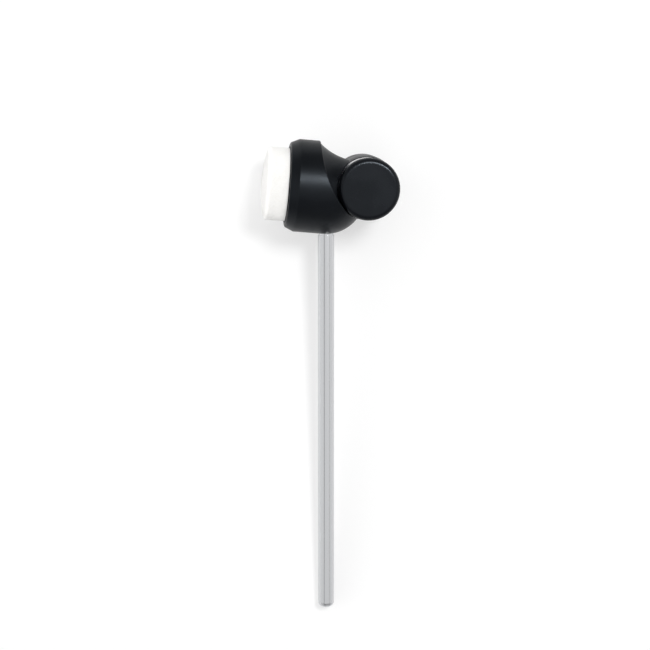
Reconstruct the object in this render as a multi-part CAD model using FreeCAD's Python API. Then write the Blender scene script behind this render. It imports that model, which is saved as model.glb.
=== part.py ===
"""Bass drum beater: a felt-faced head on a round steel shaft, with a pull-out weight in its back.

Millimetres. The origin lies on the shaft axis, in the middle of the stretch that a pedal hub
clamps. +Z runs up the shaft to the head and the felt faces -X. Behind the head a drum lies along
Y, and the weight plugs into the drum's front end, towards -Y.

The head has a frame of its own: its origin is where the barrel axis crosses the shaft axis, its
x axis runs backwards along the barrel and its y axis is the part's Y. That frame leans by
HEAD_PITCH, which lifts the felt a little.
"""
import FreeCAD
import Part

import math
import os

from FreeCAD import Placement, Rotation, Vector

# Shaft, with a thinner stub inside the head
SHAFT_RADIUS = 4.0
SHAFT_BELOW_ORIGIN = 35.0
SHAFT_TIP_ROUND = 2.4
HEAD_HEIGHT = 179.0
HEAD_PITCH = 4.9
STUB_STEP = 0.4
STUB_END_GAP = 0.5
STUB_CHAMFER = 0.8

# Barrel of the head, with its front shoulder, the bead round its rim and its domed back
BARREL_RADIUS = 22.6
RIM_AHEAD = 19.1
SHOULDER_LENGTH = 4.4
SHOULDER_DROP = 2.0
RIM_ROUND = 1.0
RIM_WALL = 4.4
RIM_BEAD_RADIUS = 0.4
DOME_START = 0.3
DOME_RISE = 3.5

# Drum across the back of the head, tapered to the front, with a slightly narrower cap on each end
DRUM_BEHIND = 19.2
DRUM_ABOVE = 1.95
DRUM_RADIUS = 15.5
DRUM_FRONT = 7.0
DRUM_INSET = 3.6
DRUM_TAPER_LENGTH = 6.0
DRUM_EDGE_ROUND = 0.8
CAP_STEP = 0.4
CAP_THICKNESS = 3.1
CAP_EDGE_LAND = 0.4
SOCKET_RADIUS = 7.1
KEEPER_THICKNESS = 2.0
KEEPER_SCREW_RADIUS = 1.5
KEEPER_SCREW_HEAD_RADIUS = 2.9
KEEPER_SCREW_LENGTH = 6.5
KEEPER_SCREW_HEX = 2.0
KEEPER_SCREW_HEX_DEPTH = 1.0

# Scoop that clears the drum behind the barrel, and the waisted neck inside it
SCOOP_RADIUS = 46.0
SCOOP_LEAN = 44.4
CREASE_ROUND = 0.3
NECK_WAIST_INSET = 1.2
NECK_WAIST_AHEAD = 4.95
NECK_FLARE_RADIUS = 28.2
NECK_ROOT = 0.3
NECK_FRONT_MARGIN = 3.0

# Pad: felt on a carrier that screws into the front of the head
SEAT_DEPTH = 6.6
CARRIER_THICKNESS = 3.0
FELT_CLEARANCE = 0.4
FELT_PROUD = 10.3
FELT_CROWN = 2.4
FELT_EDGE_ROUND = 1.5
PAD_STUD_RADIUS = 3.0
PAD_STUD_HEAD_RADIUS = 5.5
PAD_STUD_HEAD_COVER = 0.6
PAD_STUD_END_GAP = 0.4
PAD_INSERT_WALL = 1.6
PAD_INSERT_BACKING = 1.0
PAD_WASHER_WIDTH = 3.4
PAD_WASHER_THICKNESS = 1.0

# Sleeve moulded round the stub of the shaft, and the grub screw that locks it
SLEEVE_WALL = 2.6
SLEEVE_COVER = 2.2
SLEEVE_ABOVE_AXIS = 10.0
SET_SCREW_RADIUS = 2.5
SET_SCREW_BELOW_AXIS = 10.5
SET_SCREW_SUNK = 1.6
SET_SCREW_HEX = 2.5
SET_SCREW_HEX_DEPTH = 2.6

# Weight: a turned body with a spigot, under a moulded cap that overhangs it a little
FLANGE_STEP = 0.25
FLANGE_FLOOR = 2.5
FLANGE_WALL = 2.5
FLANGE_EDGE_ROUND = 0.5
CAP_PLUG_GAP = 2.3
CAP_PLUG_WALL = 1.6
SPIGOT_LENGTH = 14.0
SPIGOT_CHAMFER = 0.6
MAGNET_RADIUS = 5.0
MAGNET_THICKNESS = 3.0
MAGNET_GAP = 0.3
ORING_SECTION_RADIUS = 0.75
ORING_FROM_SEAT = 4.0

# Clearances: between fixed pieces, round the spigot, beside the weight and round the stub
FIXED_GAP = 0.03
RUNNING_GAP = 0.08
SIDE_GAP = 0.2
SHAFT_HOLE_GAP = 0.15

# Places worked out from the sizes above
TIP_Z = -SHAFT_BELOW_ORIGIN
STUB_RADIUS = SHAFT_RADIUS - STUB_STEP
UNDERSIDE_Z = HEAD_HEIGHT - BARREL_RADIUS / math.cos(math.radians(HEAD_PITCH))
SHOULDER_Z = UNDERSIDE_Z - SHAFT_RADIUS * math.tan(math.radians(HEAD_PITCH)) - SHAFT_HOLE_GAP
SLEEVE_RADIUS = STUB_RADIUS + FIXED_GAP + SLEEVE_WALL
SLEEVE_FOOT_Z = UNDERSIDE_Z + SLEEVE_COVER
SLEEVE_TOP_Z = HEAD_HEIGHT + SLEEVE_ABOVE_AXIS
SET_SCREW_Z = HEAD_HEIGHT - SET_SCREW_BELOW_AXIS
DOME_RADIUS = BARREL_RADIUS - DOME_RISE
SEAT_RADIUS = BARREL_RADIUS - RIM_WALL
SEAT_X = SEAT_DEPTH - RIM_AHEAD
CARRIER_X = SEAT_X - CARRIER_THICKNESS
FELT_EDGE_X = -RIM_AHEAD - FELT_PROUD
PAD_RADIUS = SEAT_RADIUS - FELT_CLEARANCE
PAD_STUD_HEAD_THICKNESS = CARRIER_THICKNESS - PAD_STUD_HEAD_COVER - PAD_WASHER_THICKNESS
PAD_INSERT_RADIUS = PAD_STUD_RADIUS + FIXED_GAP + PAD_INSERT_WALL
PAD_INSERT_END_X = -SLEEVE_RADIUS - PAD_INSERT_BACKING
PAD_WASHER_RADIUS = PAD_INSERT_RADIUS + PAD_WASHER_WIDTH
CAP_RADIUS = DRUM_RADIUS - CAP_STEP
CAP_EDGE_ROUND = CAP_THICKNESS - CAP_EDGE_LAND
DRUM_BACK = BARREL_RADIUS - DRUM_INSET - CAP_THICKNESS
FLANGE_RADIUS = CAP_RADIUS - FLANGE_STEP
FLANGE_THICKNESS = DRUM_BACK - DRUM_FRONT
NECK_WAIST_RADIUS = DRUM_RADIUS - NECK_WAIST_INSET
SPIGOT_RADIUS = SOCKET_RADIUS - RUNNING_GAP
POCKET_RADIUS = CAP_RADIUS + SIDE_GAP
RECESS_RADIUS = FLANGE_RADIUS - FLANGE_WALL
SCOOP_REACH = SCOOP_RADIUS - POCKET_RADIUS
KEEPER_FACE = SPIGOT_LENGTH + MAGNET_GAP - DRUM_FRONT - DRUM_BACK
KEEPER_BACK = KEEPER_FACE + KEEPER_THICKNESS

X_AXIS = Vector(1, 0, 0)
Y_AXIS = Vector(0, 1, 0)
Z_AXIS = Vector(0, 0, 1)
HEAD_FRAME = Placement(Vector(0, 0, HEAD_HEIGHT), Rotation(Y_AXIS, HEAD_PITCH))
DRUM_CENTRE = Vector(DRUM_BEHIND, 0, DRUM_ABOVE)
SCOOP_TURN = math.radians(SCOOP_LEAN)
SCOOP_AXIS = DRUM_CENTRE + Vector(math.cos(SCOOP_TURN), 0, math.sin(SCOOP_TURN)) * SCOOP_REACH
DRUM_FRONT_FACE = DRUM_CENTRE - Y_AXIS * DRUM_FRONT
DRUM_BACK_FACE = DRUM_CENTRE + Y_AXIS * DRUM_BACK


def along(distance):
    """Point of the head's x axis."""
    return Vector(distance, 0, 0)


def at_height(z):
    """Point of the z axis."""
    return Vector(0, 0, z)


def placed(shape, foot, direction):
    """Carries a shape that is built along Z to a foot point, with its Z axis turned to a direction."""
    return shape.transformed(Placement(foot, Rotation(Z_AXIS, direction)).toMatrix())


def in_head(shape):
    """Carries a shape from the head's own frame into the part's frame."""
    return shape.transformed(HEAD_FRAME.toMatrix())


def at_drum_front(shape):
    """Carries a shape whose z = 0 is the drum's front face and whose +z points out to the front."""
    return in_head(placed(shape, DRUM_FRONT_FACE, -Y_AXIS))


def at_drum_back(shape):
    """Carries a shape whose z = 0 is the drum's back face and whose +z points out to the back."""
    return in_head(placed(shape, DRUM_BACK_FACE, Y_AXIS))


def line(start, end):
    return Part.LineSegment(start, end).toShape()


def arc(start, middle, end):
    return Part.Arc(start, middle, end).toShape()


def on_circle(centre, radius, angle):
    """Point of a circle in the XZ plane, at an angle in degrees from +X towards +Z."""
    turn = math.radians(angle)
    return centre + Vector(radius * math.cos(turn), 0, radius * math.sin(turn))


def round_corner(centre, radius, start_angle, end_angle):
    """Arc of a circle in the XZ plane between two angles."""
    angles = (start_angle, (start_angle + end_angle) / 2, end_angle)
    return arc(*[on_circle(centre, radius, angle) for angle in angles])


def polyline(points):
    return [line(start, end) for start, end in zip(points, points[1:])]


def turned(edges, axis):
    """Solid of revolution of a closed outline about an axis through the origin."""
    face = Part.Face(Part.Wire(Part.__sortEdges__(edges)))
    return Part.Solid(face.revolve(Vector(0, 0, 0), axis, 360))


def turned_points(points, axis):
    return turned(polyline(points + points[:1]), axis)


def rod(radius, start, end):
    """Round bar from one point to another."""
    run = end - start
    return Part.makeCylinder(radius, run.Length, start, run)


def tube(outer, inner, start, end):
    return rod(outer, start, end).cut(rod(inner, start, end))


def hex_socket(across_flats, foot_z, depth):
    """Hexagonal bar along Z, which cuts the socket of a screw."""
    corner = across_flats / math.sqrt(3)
    turns = [math.radians(angle) for angle in range(0, 361, 60)]
    corners = [Vector(corner * math.cos(turn), corner * math.sin(turn), foot_z) for turn in turns]
    return Part.Face(Part.makePolygon(corners)).extrude(Z_AXIS * depth)


def cap_disc():
    """Disc that stands on z = 0, with its outer edge rounded."""
    round_centre = Vector(CAP_RADIUS - CAP_EDGE_ROUND, 0, CAP_EDGE_LAND)
    outline = polyline(
        [
            on_circle(round_centre, CAP_EDGE_ROUND, 90),
            at_height(CAP_THICKNESS),
            at_height(0),
            Vector(CAP_RADIUS, 0, 0),
            on_circle(round_centre, CAP_EDGE_ROUND, 0),
        ]
    )
    return turned(outline + [round_corner(round_centre, CAP_EDGE_ROUND, 0, 90)], Z_AXIS)


def barrel():
    """Barrel with a coned, rounded front shoulder and a domed back, turned about the head's x axis."""
    slope = math.atan2(SHOULDER_DROP, SHOULDER_LENGTH)
    front_radius = BARREL_RADIUS - SHOULDER_DROP
    setback = RIM_ROUND * math.tan((math.pi / 2 - slope) / 2)
    round_centre = Vector(RIM_ROUND - RIM_AHEAD, 0, front_radius - setback)
    cone_angle = 90 + math.degrees(slope)
    on_rim = on_circle(round_centre, RIM_ROUND, 180)
    shoulder = Vector(SHOULDER_LENGTH - RIM_AHEAD, 0, BARREL_RADIUS)
    dome_centre = Vector(DOME_START, 0, BARREL_RADIUS - DOME_RADIUS)
    dome_end = on_circle(dome_centre, DOME_RADIUS, 0)
    outline = [
        line(along(-RIM_AHEAD), on_rim),
        round_corner(round_centre, RIM_ROUND, 180, cone_angle),
        line(on_circle(round_centre, RIM_ROUND, cone_angle), shoulder),
        line(shoulder, on_circle(dome_centre, DOME_RADIUS, 90)),
        round_corner(dome_centre, DOME_RADIUS, 90, 0),
        line(dome_end, along(dome_end.x)),
        line(along(dome_end.x), along(-RIM_AHEAD)),
    ]
    return turned(outline, X_AXIS)


def scoop():
    """Space across the back of the barrel: a wide round wall that runs smoothly on round the drum's place."""
    meeting_angle = 180 + SCOOP_LEAN
    above = on_circle(SCOOP_AXIS, SCOOP_RADIUS, 90)
    behind = on_circle(DRUM_CENTRE, POCKET_RADIUS, 360)
    outline = [
        round_corner(SCOOP_AXIS, SCOOP_RADIUS, 90, meeting_angle),
        round_corner(DRUM_CENTRE, POCKET_RADIUS, meeting_angle, 360),
        line(behind, above),
    ]
    section = Part.Face(Part.Wire(Part.__sortEdges__(outline)))
    section.translate(-Y_AXIS * (2 * BARREL_RADIUS))
    return section.extrude(Y_AXIS * (4 * BARREL_RADIUS))


def is_crease(edge):
    """True for a curved edge whose middle is on one of the scoop's two walls."""
    middle = edge.valueAt((edge.FirstParameter + edge.LastParameter) / 2)
    walls = ((SCOOP_AXIS, SCOOP_RADIUS), (DRUM_CENTRE, POCKET_RADIUS))
    offsets = [math.hypot(middle.x - axis.x, middle.z - axis.z) - radius for axis, radius in walls]
    return min(map(abs, offsets)) < FIXED_GAP and edge.Curve.TypeId != "Part::GeomLine"


def scooped_barrel():
    """Barrel cut away behind by the scoop, with a softened crease round the cut."""
    body = barrel().cut(scoop())
    return body.makeFillet(CREASE_ROUND, [edge for edge in body.Edges if is_crease(edge)])


def rim_bead():
    """Thin bead that runs round the front rim, beside the mouth of the seat."""
    ring_radius = SEAT_RADIUS + RIM_BEAD_RADIUS / 2
    return Part.makeTorus(ring_radius, RIM_BEAD_RADIUS, along(-RIM_AHEAD), X_AXIS)


def pad_seat():
    """Recess in the front of the barrel."""
    return rod(SEAT_RADIUS, along(-RIM_AHEAD - 2 * RIM_BEAD_RADIUS), along(SEAT_X))


def neck():
    """Waisted neck from the scoop to the drum: a hollow flare, then a ball that ends it."""
    waist_x = DRUM_BEHIND - NECK_WAIST_AHEAD
    flare_centre = Vector(waist_x, 0, NECK_WAIST_RADIUS + NECK_FLARE_RADIUS)
    crease_rise = BARREL_RADIUS - SCOOP_AXIS.z
    root_x = SCOOP_AXIS.x - math.sqrt(SCOOP_RADIUS ** 2 - crease_rise ** 2) - NECK_ROOT
    root_angle = 180 + math.degrees(math.acos((waist_x - root_x) / NECK_FLARE_RADIUS))
    root = on_circle(flare_centre, NECK_FLARE_RADIUS, root_angle)
    ball_centre = along(waist_x)
    ball_end = on_circle(ball_centre, NECK_WAIST_RADIUS, 0)
    front = along(root_x - NECK_FRONT_MARGIN)
    shoulder = Vector(front.x, 0, root.z)
    outline = [
        line(front, shoulder),
        line(shoulder, root),
        round_corner(flare_centre, NECK_FLARE_RADIUS, root_angle, 270),
        round_corner(ball_centre, NECK_WAIST_RADIUS, 90, 0),
        line(ball_end, front),
    ]
    return turned(outline, X_AXIS)


def room_beyond(face, outward):
    """Space beyond a face of the drum, out past the side of the barrel, for what sits on that face."""
    return rod(POCKET_RADIUS, face, face + outward * (2 * BARREL_RADIUS))


def drum():
    """Round drum across the back of the head, tapered to its front, with the edges of its ends rounded."""
    taper = Part.makeCone(CAP_RADIUS, DRUM_RADIUS, DRUM_TAPER_LENGTH, DRUM_FRONT_FACE, Y_AXIS)
    body = taper.fuse(rod(DRUM_RADIUS, DRUM_FRONT_FACE + Y_AXIS * DRUM_TAPER_LENGTH, DRUM_BACK_FACE))
    ends = (DRUM_FRONT_FACE.y, DRUM_BACK_FACE.y)
    rings = [edge for edge in body.Edges if edge.isClosed()]
    rims = [ring for ring in rings if min(abs(ring.CenterOfMass.y - end) for end in ends) < FIXED_GAP]
    return body.makeFillet(DRUM_EDGE_ROUND, rims)


def head_shell():
    """Moulded head: barrel, neck and drum in one piece, with the seats and bores cut into it."""
    weight_room = room_beyond(DRUM_FRONT_FACE, -Y_AXIS)
    cap_room = room_beyond(DRUM_BACK_FACE, Y_AXIS)
    flanks = neck().cut(weight_room).cut(cap_room)
    shell = scooped_barrel().fuse(rim_bead()).fuse(flanks).fuse(drum())
    insert_hole = rod(PAD_INSERT_RADIUS + FIXED_GAP, along(SEAT_X), along(PAD_INSERT_END_X))
    socket = rod(SOCKET_RADIUS, DRUM_FRONT_FACE, DRUM_BACK_FACE)
    shell = in_head(shell.cut(pad_seat()).cut(insert_hole).cut(socket))
    stub_hole = rod(STUB_RADIUS + SHAFT_HOLE_GAP, at_height(SHOULDER_Z), at_height(SLEEVE_FOOT_Z))
    sleeve_hole = rod(SLEEVE_RADIUS + FIXED_GAP, at_height(SLEEVE_FOOT_Z), at_height(SLEEVE_TOP_Z))
    return shell.cut(stub_hole).cut(sleeve_hole).cut(set_screw_hole())


def shaft():
    """Polished rod with a rounded tip and a thinner stub that the sleeve holds."""
    stub_top = SLEEVE_TOP_Z - STUB_END_GAP
    tip_centre = Vector(SHAFT_RADIUS - SHAFT_TIP_ROUND, 0, TIP_Z + SHAFT_TIP_ROUND)
    outline = polyline(
        [
            on_circle(tip_centre, SHAFT_TIP_ROUND, 0),
            Vector(SHAFT_RADIUS, 0, SHOULDER_Z),
            Vector(STUB_RADIUS, 0, SHOULDER_Z),
            Vector(STUB_RADIUS, 0, stub_top - STUB_CHAMFER),
            Vector(STUB_RADIUS - STUB_CHAMFER, 0, stub_top),
            at_height(stub_top),
            at_height(TIP_Z),
            on_circle(tip_centre, SHAFT_TIP_ROUND, 270),
        ]
    )
    return turned(outline + [round_corner(tip_centre, SHAFT_TIP_ROUND, 270, 360)], Z_AXIS)


def shaft_sleeve():
    """Bush that the head is moulded round, bored for the stub and threaded across for its screw."""
    bore = STUB_RADIUS + FIXED_GAP
    body = tube(SLEEVE_RADIUS, bore, at_height(SLEEVE_FOOT_Z), at_height(SLEEVE_TOP_Z))
    return body.cut(set_screw_hole())


def set_screw_hole():
    """Bore for the grub screw, from the stub of the shaft out through the floor of the pad's seat."""
    start = at_height(SET_SCREW_Z)
    return rod(SET_SCREW_RADIUS + FIXED_GAP, start, start - X_AXIS * RIM_AHEAD)


def shaft_set_screw():
    """Grub screw with a hexagon socket, reached through the pad's seat with the pad off."""
    seat_floor = HEAD_FRAME.multVec(Vector(SEAT_X, 0, -SET_SCREW_BELOW_AXIS))
    foot = Vector(-STUB_RADIUS - FIXED_GAP, 0, SET_SCREW_Z)
    length = foot.x - seat_floor.x - SET_SCREW_SUNK
    screw = rod(SET_SCREW_RADIUS, at_height(0), at_height(length))
    socket = hex_socket(SET_SCREW_HEX, length - SET_SCREW_HEX_DEPTH, SET_SCREW_HEX_DEPTH)
    return placed(screw.cut(socket), foot, -X_AXIS)


def felt_pad():
    """Thick felt disc with a crowned face and a rounded edge."""
    crown_radius = (PAD_RADIUS ** 2 + FELT_CROWN ** 2) / (2 * FELT_CROWN)
    crown_centre = along(FELT_EDGE_X - FELT_CROWN + crown_radius)
    edge_angle = 180 - math.degrees(math.asin(PAD_RADIUS / crown_radius))
    edge = Vector(FELT_EDGE_X, 0, PAD_RADIUS)
    outline = [
        line(along(CARRIER_X), Vector(CARRIER_X, 0, PAD_RADIUS)),
        line(Vector(CARRIER_X, 0, PAD_RADIUS), edge),
        round_corner(crown_centre, crown_radius, edge_angle, 180),
        line(along(FELT_EDGE_X - FELT_CROWN), along(CARRIER_X)),
    ]
    pad = turned(outline, X_AXIS)
    rim = [ring for ring in pad.Edges if ring.isClosed() and abs(ring.CenterOfMass.x - edge.x) < FIXED_GAP]
    return in_head(pad.makeFillet(FELT_EDGE_ROUND, rim))


def stud_blank():
    """Stud with its flanged head, before the carrier is moulded round that head."""
    head_x = CARRIER_X + PAD_STUD_HEAD_COVER
    head = rod(PAD_STUD_HEAD_RADIUS, along(head_x), along(head_x + PAD_STUD_HEAD_THICKNESS))
    shank = rod(PAD_STUD_RADIUS, along(head_x), along(PAD_INSERT_END_X - PAD_STUD_END_GAP))
    return head.fuse(shank).removeSplitter()


def pad_carrier():
    """Moulded disc under the felt, with the stud's head in it and a step for the washer."""
    disc = rod(PAD_RADIUS, along(CARRIER_X), along(SEAT_X))
    washer_step = rod(PAD_WASHER_RADIUS + FIXED_GAP, along(SEAT_X - PAD_WASHER_THICKNESS), along(SEAT_X))
    return in_head(disc.cut(washer_step).cut(stud_blank()))


def pad_stud():
    return in_head(stud_blank())


def pad_washer():
    """Spring washer that keeps the pad from unscrewing."""
    return in_head(
        tube(PAD_WASHER_RADIUS, PAD_INSERT_RADIUS, along(SEAT_X - PAD_WASHER_THICKNESS), along(SEAT_X))
    )


def pad_insert():
    """Threaded insert in the floor of the pad's seat."""
    return in_head(
        tube(PAD_INSERT_RADIUS, PAD_STUD_RADIUS + FIXED_GAP, along(SEAT_X), along(PAD_INSERT_END_X))
    )


def keeper_screw_blank(gap):
    """Countersunk screw from the keeper's face into the end cap's plug, widened all round by a gap."""
    return turned_points(
        [
            at_height(KEEPER_FACE),
            Vector(KEEPER_SCREW_HEAD_RADIUS + gap, 0, KEEPER_FACE),
            Vector(KEEPER_SCREW_RADIUS + gap, 0, KEEPER_FACE + KEEPER_SCREW_HEAD_RADIUS - KEEPER_SCREW_RADIUS),
            Vector(KEEPER_SCREW_RADIUS + gap, 0, KEEPER_FACE + KEEPER_SCREW_LENGTH),
            at_height(KEEPER_FACE + KEEPER_SCREW_LENGTH),
        ],
        Z_AXIS,
    )


def keeper_screw():
    socket = hex_socket(KEEPER_SCREW_HEX, KEEPER_FACE, KEEPER_SCREW_HEX_DEPTH)
    return at_drum_back(keeper_screw_blank(0).cut(socket))


def keeper_plate():
    """Steel disc at the bottom of the socket, which the weight's magnet pulls on."""
    disc = rod(SOCKET_RADIUS - FIXED_GAP, at_height(KEEPER_FACE), at_height(KEEPER_BACK))
    return at_drum_back(disc.cut(keeper_screw_blank(FIXED_GAP)))


def drum_end_cap():
    """Cap on the drum's back, with a plug in the socket that carries the keeper."""
    plug = rod(SOCKET_RADIUS - FIXED_GAP, at_height(KEEPER_BACK), at_height(0))
    cap = cap_disc().fuse(plug)
    return at_drum_back(cap.cut(keeper_screw_blank(FIXED_GAP)))


def weight_body():
    """Turned flange and spigot, with a recess for the cap, a magnet pocket and an O-ring groove."""
    edge_centre = Vector(FLANGE_RADIUS - FLANGE_EDGE_ROUND, 0, FLANGE_EDGE_ROUND)
    pocket_radius = MAGNET_RADIUS + FIXED_GAP
    pocket_floor = MAGNET_THICKNESS - SPIGOT_LENGTH
    outline = polyline(
        [
            on_circle(edge_centre, FLANGE_EDGE_ROUND, 0),
            Vector(FLANGE_RADIUS, 0, FLANGE_THICKNESS),
            Vector(RECESS_RADIUS, 0, FLANGE_THICKNESS),
            Vector(RECESS_RADIUS, 0, FLANGE_FLOOR),
            at_height(FLANGE_FLOOR),
            at_height(pocket_floor),
            Vector(pocket_radius, 0, pocket_floor),
            Vector(pocket_radius, 0, -SPIGOT_LENGTH),
            Vector(SPIGOT_RADIUS - SPIGOT_CHAMFER, 0, -SPIGOT_LENGTH),
            Vector(SPIGOT_RADIUS, 0, SPIGOT_CHAMFER - SPIGOT_LENGTH),
            Vector(SPIGOT_RADIUS, 0, 0),
            on_circle(edge_centre, FLANGE_EDGE_ROUND, 270),
        ]
    )
    body = turned(outline + [round_corner(edge_centre, FLANGE_EDGE_ROUND, 270, 360)], Z_AXIS)
    half_groove = ORING_SECTION_RADIUS + FIXED_GAP
    groove_floor = SPIGOT_RADIUS - 2 * half_groove
    groove = tube(
        SOCKET_RADIUS,
        groove_floor,
        at_height(-ORING_FROM_SEAT - half_groove),
        at_height(-ORING_FROM_SEAT + half_groove),
    )
    return at_drum_front(body.cut(groove))


def weight_cap():
    """Moulded cap on the flange, with a ring that presses into the flange's recess."""
    plug_radius = RECESS_RADIUS - FIXED_GAP
    plug_foot = FLANGE_FLOOR + CAP_PLUG_GAP
    plug = tube(plug_radius, plug_radius - CAP_PLUG_WALL, at_height(plug_foot), at_height(FLANGE_THICKNESS))
    disc = cap_disc()
    disc.translate(at_height(FLANGE_THICKNESS))
    return at_drum_front(disc.fuse(plug))


def weight_magnet():
    return at_drum_front(
        rod(MAGNET_RADIUS, at_height(-SPIGOT_LENGTH), at_height(MAGNET_THICKNESS - SPIGOT_LENGTH))
    )


def weight_oring():
    """O-ring in the spigot's groove, flush with the spigot so that it runs in the socket."""
    ring_radius = SPIGOT_RADIUS - ORING_SECTION_RADIUS
    return at_drum_front(Part.makeTorus(ring_radius, ORING_SECTION_RADIUS, at_height(-ORING_FROM_SEAT), Z_AXIS))


NODES = {
    "head_shell": head_shell,
    "shaft": shaft,
    "shaft_sleeve": shaft_sleeve,
    "shaft_set_screw": shaft_set_screw,
    "felt_pad": felt_pad,
    "pad_carrier": pad_carrier,
    "pad_stud": pad_stud,
    "pad_insert": pad_insert,
    "pad_washer": pad_washer,
    "drum_end_cap": drum_end_cap,
    "keeper_plate": keeper_plate,
    "keeper_screw": keeper_screw,
    "weight_body": weight_body,
    "weight_cap": weight_cap,
    "weight_magnet": weight_magnet,
    "weight_oring": weight_oring,
}


def main():
    os.makedirs("parts", exist_ok=True)
    for name, make in NODES.items():
        shape = make()
        state = "valid" if shape.isValid() else "INVALID"
        print(name, len(shape.Solids), "solid", state, round(shape.Volume, 1), "mm3")
        shape.exportStep(f"parts/{name}.step")


main()
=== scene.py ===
"""Looks of the bass drum beater: finishes for its solids, a felt pad with loose fibres, and a stage.

Metres, in the part's own frame: +Z runs up the shaft, the felt faces -X and the weight pulls out
towards -Y. The head's own axes lean by HEAD_PITCH about Y.
"""
import math

import bpy
import numpy as np
from bpy.props import FloatProperty, FloatVectorProperty, IntProperty, PointerProperty
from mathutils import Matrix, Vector


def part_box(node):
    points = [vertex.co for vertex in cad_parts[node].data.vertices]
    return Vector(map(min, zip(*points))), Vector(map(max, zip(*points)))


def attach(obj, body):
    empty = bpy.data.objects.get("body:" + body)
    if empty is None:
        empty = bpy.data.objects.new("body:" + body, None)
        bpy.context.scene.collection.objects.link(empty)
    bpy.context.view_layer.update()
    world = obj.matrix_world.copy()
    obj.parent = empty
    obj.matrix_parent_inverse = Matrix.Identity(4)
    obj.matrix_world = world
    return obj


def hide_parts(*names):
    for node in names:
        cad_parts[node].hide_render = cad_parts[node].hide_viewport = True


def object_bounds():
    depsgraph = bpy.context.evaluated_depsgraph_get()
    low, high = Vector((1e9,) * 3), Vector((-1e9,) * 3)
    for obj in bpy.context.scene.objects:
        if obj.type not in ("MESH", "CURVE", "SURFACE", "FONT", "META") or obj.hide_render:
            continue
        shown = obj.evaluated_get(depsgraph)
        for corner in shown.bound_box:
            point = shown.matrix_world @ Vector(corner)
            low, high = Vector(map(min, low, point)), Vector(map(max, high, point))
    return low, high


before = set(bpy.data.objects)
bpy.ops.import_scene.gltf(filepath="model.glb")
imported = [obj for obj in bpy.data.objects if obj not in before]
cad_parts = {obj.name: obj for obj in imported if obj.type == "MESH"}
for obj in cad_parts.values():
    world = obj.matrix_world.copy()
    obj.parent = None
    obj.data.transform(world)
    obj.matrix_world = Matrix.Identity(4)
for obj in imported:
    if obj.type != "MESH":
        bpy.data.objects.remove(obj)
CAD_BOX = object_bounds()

bl_info = {
    "name": "Bass drum beater",
    "version": (1, 0, 0),
    "blender": (4, 5, 0),
    "location": "View3D > Sidebar > Beater",
    "description": "Gives the beater its finishes, makes its felt pad and sets the stage",
    "category": "Object",
}

MILLIMETRE = 0.001
HEAD_PITCH = math.radians(4.9)
HEAD_AXES = np.array(
    [
        [math.cos(HEAD_PITCH), 0.0, -math.sin(HEAD_PITCH)],
        [0.0, 1.0, 0.0],
        [math.sin(HEAD_PITCH), 0.0, math.cos(HEAD_PITCH)],
    ]
)

# Base colours of the small fittings
NICKEL = (0.62, 0.6, 0.56)
ZINC = (0.58, 0.59, 0.6)
BRASS = (0.72, 0.5, 0.22)
BARE_ALUMINIUM = (0.6, 0.6, 0.62)
BLACK_OXIDE = (0.05, 0.05, 0.055)
BLACK_RUBBER = (0.008, 0.008, 0.008)
CARRIER_BLACK = (0.02, 0.02, 0.02)

# Tints of a hairline in metal and of the gloss on plastic, and the felt's darkest share of its colour,
# which its blotches and the painted shade in its hollows reach
HAIRLINE_BRIGHT = (0.9, 0.9, 0.9)
COOL_GLOSS = (0.8, 0.9, 1.0)
FELT_SHADE = (0.93, 0.92, 0.9)

# Sizes of surface detail
MOULDED_EDGE = 0.5 * MILLIMETRE
MOULDED_DEPTH = 0.02 * MILLIMETRE
PLATED_EDGE = 0.3 * MILLIMETRE
PLATED_GRAIN = 0.35 * MILLIMETRE
PLATED_DEPTH = 0.01 * MILLIMETRE
RUBBER_GRAIN = 0.2 * MILLIMETRE
RUBBER_DEPTH = 0.02 * MILLIMETRE
FELT_DEPTH = 0.12 * MILLIMETRE
BRIGHT_LINE_DEPTH = 0.004 * MILLIMETRE
COARSE_LINE_DEPTH = 0.006 * MILLIMETRE
GROUND_LENGTH = 3.0 * MILLIMETRE

# Noise, in waves to the metre along X, Y and Z. A turn follows the scale, so it leaves the lines'
# direction alone and only picks another part of the noise
CLOUD_SCALE = 85.0
MARKED_PATCH_SCALE = 130.0
FELT_BLOTCH_SCALE = 160.0
UNEVEN_EDGE_SCALE = 420.0
FELT_MATTED_SCALE = 1500.0
FELT_STRAND_SCALE = (700.0, 2600.0, 900.0)
FELT_STRAND_TURN = (0.4, 0.3, 0.9)
HAIRLINE_SCALE = (4200.0, 38.0, 900.0)
HAIRLINE_TURNS = ((0.3, 0.9, 0.2), (1.4, 0.2, 1.1), (0.6, 2.3, 1.9))
SHAFT_LINE_SCALE = (2600.0, 2600.0, 9.0)
WEIGHT_LINE_SCALE = (60.0, 9000.0, 60.0)
BUSH_LINE_SCALE = (2400.0, 2400.0, 12.0)
INSERT_LINE_SCALE = (9000.0, 80.0, 80.0)

# Share of full wear on rubbed edges (on the moulding partly a painted edge highlight) and on hairlines,
# what wear and grinding add to roughness, and the parts that painted shade in hollows and blotches have in
# the felt's shade
PLASTIC_EDGE_WEAR_AND_HIGHLIGHT = 0.8
PLASTIC_HAIRLINE_WEAR = 0.5
PLASTIC_WEAR_ROUGHNESS = -0.12
METAL_HAIRLINE_WEAR = 0.3
METAL_HAIRLINE_ROUGHNESS = 0.02
GROUND_ROUGHNESS = 0.35
FELT_PAINTED_SHADE_SHARE = 0.6
FELT_BLOTCH_SHARE = 0.4

# Felt: points along each stretch of its outline, and the cell, share and seed of each wave of its bumps
BACK_POINTS = 40
SIDE_POINTS = 46
EDGE_POINTS = 14
CROWN_POINTS = 60
FELT_WAVES = ((7.0 * MILLIMETRE, 0.6, 11), (1.1 * MILLIMETRE, 0.4, 12))
NOISE_LATTICE = 64
ROUNDING_ERROR = 1e-9

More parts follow.
